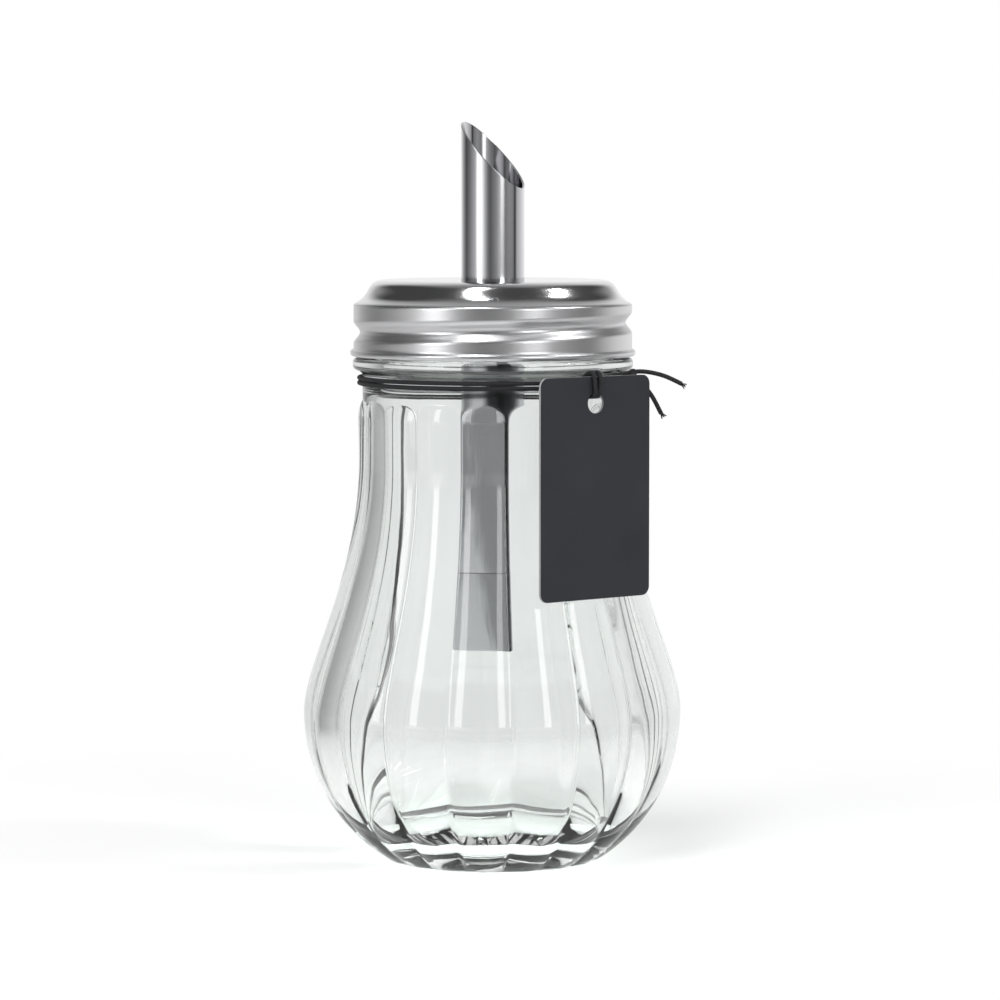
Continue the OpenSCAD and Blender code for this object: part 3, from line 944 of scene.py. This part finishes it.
class SCENE_OT_studio(bpy.types.Operator):
    """Camera, pale floor, soft lamps and white surroundings"""

    bl_idname = "dispenser.studio"
    bl_label = "Studio"

    def execute(self, context):
        scene = context.scene
        scene.view_settings.view_transform = "Standard"
        self.camera(scene)
        self.surroundings(scene)
        self.floor()
        self.lamps()
        return {"FINISHED"}

    def camera(self, scene):
        data = bpy.data.cameras.new("camera")
        data.lens = 145
        data.sensor_width = 36
        data.clip_start = 0.05
        made = bpy.data.objects.new("camera", data)
        scene.collection.objects.link(made)
        made.location = CAMERA_PLACE
        made.rotation_euler = (math.radians(90 - CAMERA_DOWN), 0, 0)
        scene.camera = made

    def surroundings(self, scene):
        """White all round; metal and glass mirror a room, dark in front and overhead, with two boxes."""
        world = bpy.data.worlds.new("surroundings")
        scene.world = world
        s = Shader("surroundings", world)
        parts = s.node("ShaderNodeSeparateXYZ", {}, {0: s.out(s.node("ShaderNodeTexCoord"), "Generated")})
        x, y, z = [s.out(parts, i) for i in range(3)]
        turn = s.maths("ARCTAN2", x, 0 - y) / math.tau + 0.5

        def toned(value, stops):
            return s.ramp(value, [(a, tone / FULL_TONE) for a, tone in stops])

        def round_ramp(stops):
            return toned(turn, [((a + 180) / 360, tone) for a, tone in stops])

        path = s.node("ShaderNodeLightPath")
        passed = s.maths("MINIMUM", s.out(path, "Transmission Depth"), 1)
        bounced = s.maths("MINIMUM", s.out(path, "Glossy Depth"), 1)
        up = z * 0.5 + 0.5
        room = s.mix(s.ramp(up, [(0.475, 0.0), (0.487, 1.0)]), round_ramp(TABLE_LEVEL), round_ramp(EYE_LEVEL))
        room = s.mix(s.ramp(up, [(0.503, 0.0), (0.518, 1.0)]), room, round_ramp(HIGH_LEVEL))
        boxes = s.ramp(turn, [((a + 180) / 360, tone) for a, tone in SOFT_BOXES])
        tall = s.ramp(up, [(0.503, 0.0), (0.518, 1.0), (0.79, 1.0), (0.82, 0.0)])
        room = s.mix(boxes * tall, room, rgba([BOX_TONE / FULL_TONE] * 3))
        room = s.mix(passed, room, round_ramp(INSIDE_LEVEL))
        steep = rgba([STEEP / FULL_TONE] * 3)
        room = s.mix(s.ramp(up, [(0.35, 1.0), (0.4, 0.0)]), room, steep)
        aside = s.ramp(s.maths("ABSOLUTE", x), [(0.3, 0.0), (0.55, 1.0)])
        roof = s.mix(aside, toned(y * 0.5 + 0.5, CROWN), toned(z, SIDES))
        roof = s.mix(passed, roof, steep)
        room = s.mix(s.ramp(z + y * 0.3, [(0.4, 0.0), (0.5, 1.0)]), room, roof)
        room = s.mix(bounced, round_ramp(THROUGH_GLASS), room)
        mirrored = s.maths("MAXIMUM", s.out(path, "Is Transmission Ray"), s.out(path, "Is Glossy Ray"))
        soft = s.backdrop(WHITE, SOFT_LIGHT)
        white = s.backdrop(WHITE, 1.0)
        around_it = s.backdrop(room, FULL_TONE)
        lit = s.blend(mirrored, soft, around_it)
        seen = s.blend(s.out(path, "Is Camera Ray"), lit, white)
        s.node("ShaderNodeOutputWorld", {}, {"Surface": seen})

    def floor(self):
        """Takes the part's shadow near it and fades to plain white."""
        clear_selection()
        bpy.ops.mesh.primitive_circle_add(vertices=96, radius=0.9, fill_type="NGON",
                                          location=(0, 0, -0.02 * MM))
        made = current("floor")
        s = Shader("floor")
        x, y = s.axes()[:2]
        away = ((x * x) + (y * y)) ** 0.5
        fade = s.ramp(away, [(0.055, 0.0), (0.2, 1.0)])
        white = s.out(s.node("ShaderNodeBsdfDiffuse", {}, {0: (0.93, 0.93, 0.93, 1)}))
        clear = s.out(s.node("ShaderNodeBsdfTransparent"))
        glow = s.out(s.node("ShaderNodeEmission", {}, {0: WHITE, 1: 1.0}))
        seen = s.out(s.node("ShaderNodeLightPath"), "Is Camera Ray")
        edge = s.blend(seen, clear, glow)
        finish_mesh(made, s.surface(s.blend(fade, white, edge)))

    def lamps(self):
        for name, (place, size, power, mirrored) in LAMPS.items():
            data = bpy.data.lights.new(name, "AREA")
            data.shape = "RECTANGLE"
            data.size, data.size_y = size
            data.energy = power
            made = bpy.data.objects.new(name, data)
            bpy.context.scene.collection.objects.link(made)
            made.location = place
            made.visible_glossy = mirrored
            made.visible_transmission = mirrored
            aim = LAMP_TARGET - Vector(place)
            made.rotation_euler = aim.to_track_quat("-Z", "Y").to_euler()


class VIEW3D_PT_dispenser(bpy.types.Panel):
    bl_label = "Sugar dispenser"
    bl_space_type = "VIEW_3D"
    bl_region_type = "UI"
    bl_category = "Dispenser"

    def draw(self, context):
        for kind in STEPS:
            self.layout.operator(kind.bl_idname)


STEPS = (SCENE_OT_studio, MESH_OT_cord, MESH_OT_jar, MESH_OT_cap, MESH_OT_tube, MESH_OT_sleeve, MESH_OT_tag,
         MESH_OT_finishes)
CLASSES = (JarSizes, CapSizes, TubeSizes, TagSizes, Finishes, DispenserSizes, *STEPS, VIEW3D_PT_dispenser)


def register():
    for kind in CLASSES:
        bpy.utils.register_class(kind)
    bpy.types.Scene.dispenser = PointerProperty(type=DispenserSizes)


def unregister():
    del bpy.types.Scene.dispenser
    for kind in reversed(CLASSES):
        bpy.utils.unregister_class(kind)


def main():
    register()
    for kind in STEPS:
        group, name = kind.bl_idname.split(".")
        getattr(getattr(bpy.ops, group), name)()


if __name__ == "__main__":
    main()
